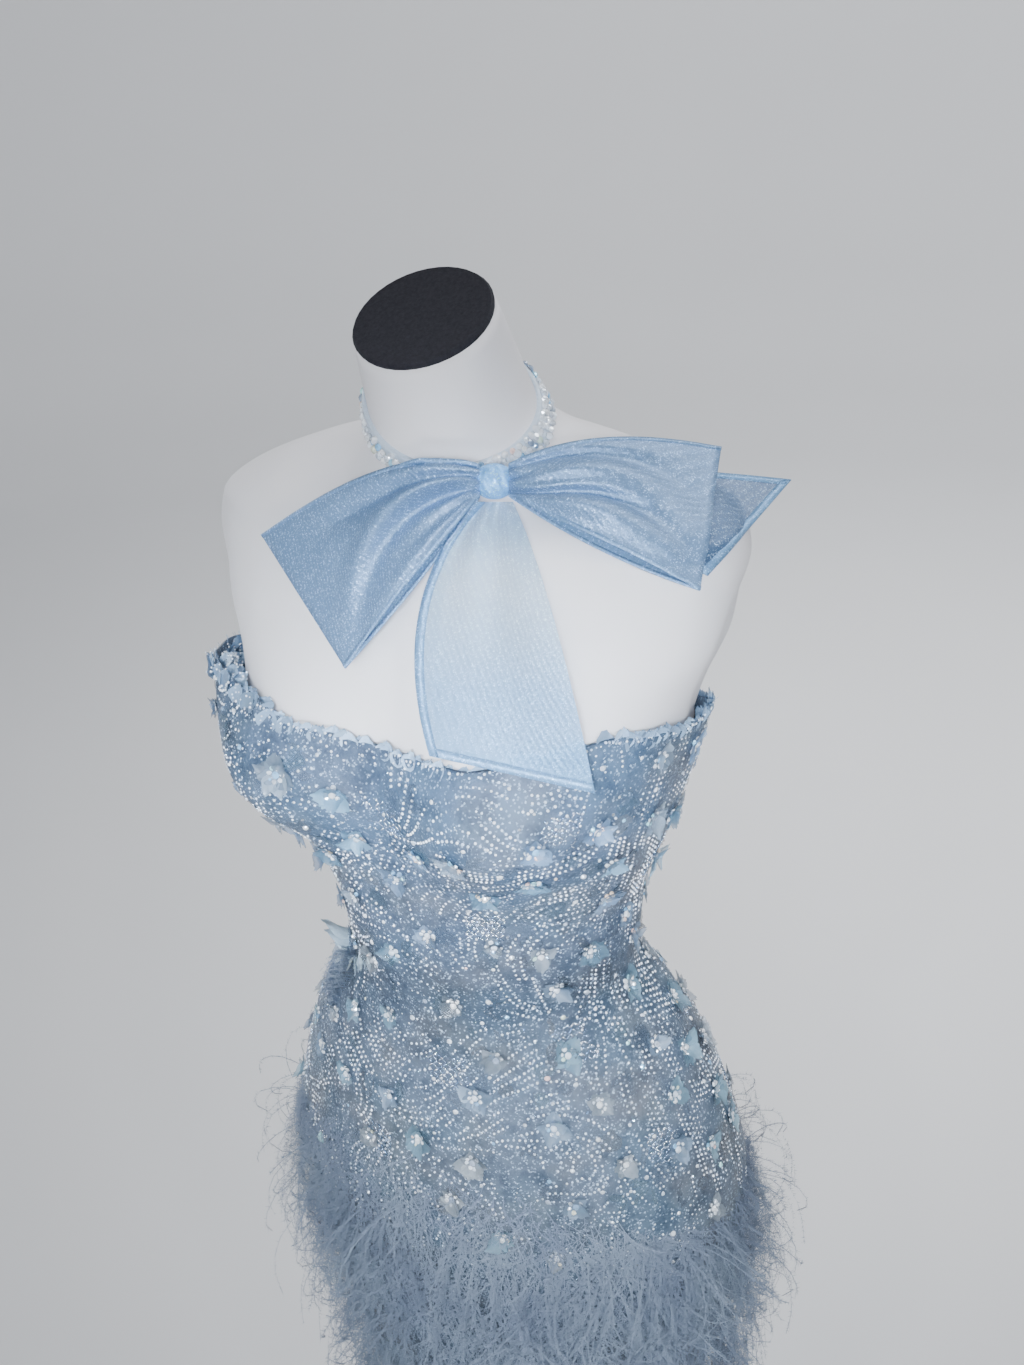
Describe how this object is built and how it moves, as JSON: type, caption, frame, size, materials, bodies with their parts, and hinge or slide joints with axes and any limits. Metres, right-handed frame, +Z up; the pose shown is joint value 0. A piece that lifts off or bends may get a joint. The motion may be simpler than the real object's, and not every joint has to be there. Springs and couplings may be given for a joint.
{
  "type": "mermaid evening dress on a dress form",
  "caption": "Strapless beaded mermaid gown with feather tiers, flared flounce and a side bow on a crystal collar, on a limbless dress form.",
  "frame": {"origin": "on the floor, under the middle of the stand's round base, which is the middle of the whole object's box", "axes": "-Y is the way the dress faces, +X is the wearer's left, +Z is up"},
  "size_m": [0.773, 0.7732, 1.5034],
  "materials": {
    "canvas": "matt off-white cotton canvas over a hard form",
    "cap_cloth": "matt charcoal cloth",
    "stand_metal": "satin grey metal",
    "beaded_tulle": "ice-blue tulle, closely embroidered with pearls, crystals and organza flowers",
    "flounce_tulle": "pale blue layered tulle",
    "feather": "soft pale blue ostrich feather",
    "petal_organza": "crisp pale blue organza petals with frayed edges",
    "bow_organza": "ice-blue organza with a fine glitter",
    "crystal": "cut crystals in silver settings on a satin band"
  },
  "bodies": {
    "root": {"form_body": "canvas", "neck_cap": "cap_cloth", "stand_pole": "stand_metal", "stand_base": "stand_metal", "dress_front": "beaded_tulle", "dress_back_left": "beaded_tulle", "dress_back_right": "beaded_tulle", "flounce_front": "flounce_tulle", "flounce_back": "flounce_tulle", "feather_tier_1": "feather", "feather_tier_2": "feather", "feather_tier_3": "feather", "feather_tier_4": "feather", "hip_tuft": "feather", "neckline_petals": "petal_organza", "collar_band": "crystal", "bow_knot": "bow_organza", "bow_loop_right": "bow_organza", "bow_loop_left": "bow_organza", "bow_tail_side": "bow_organza", "bow_tail_front": "bow_organza"}
  },
  "joints": []
}
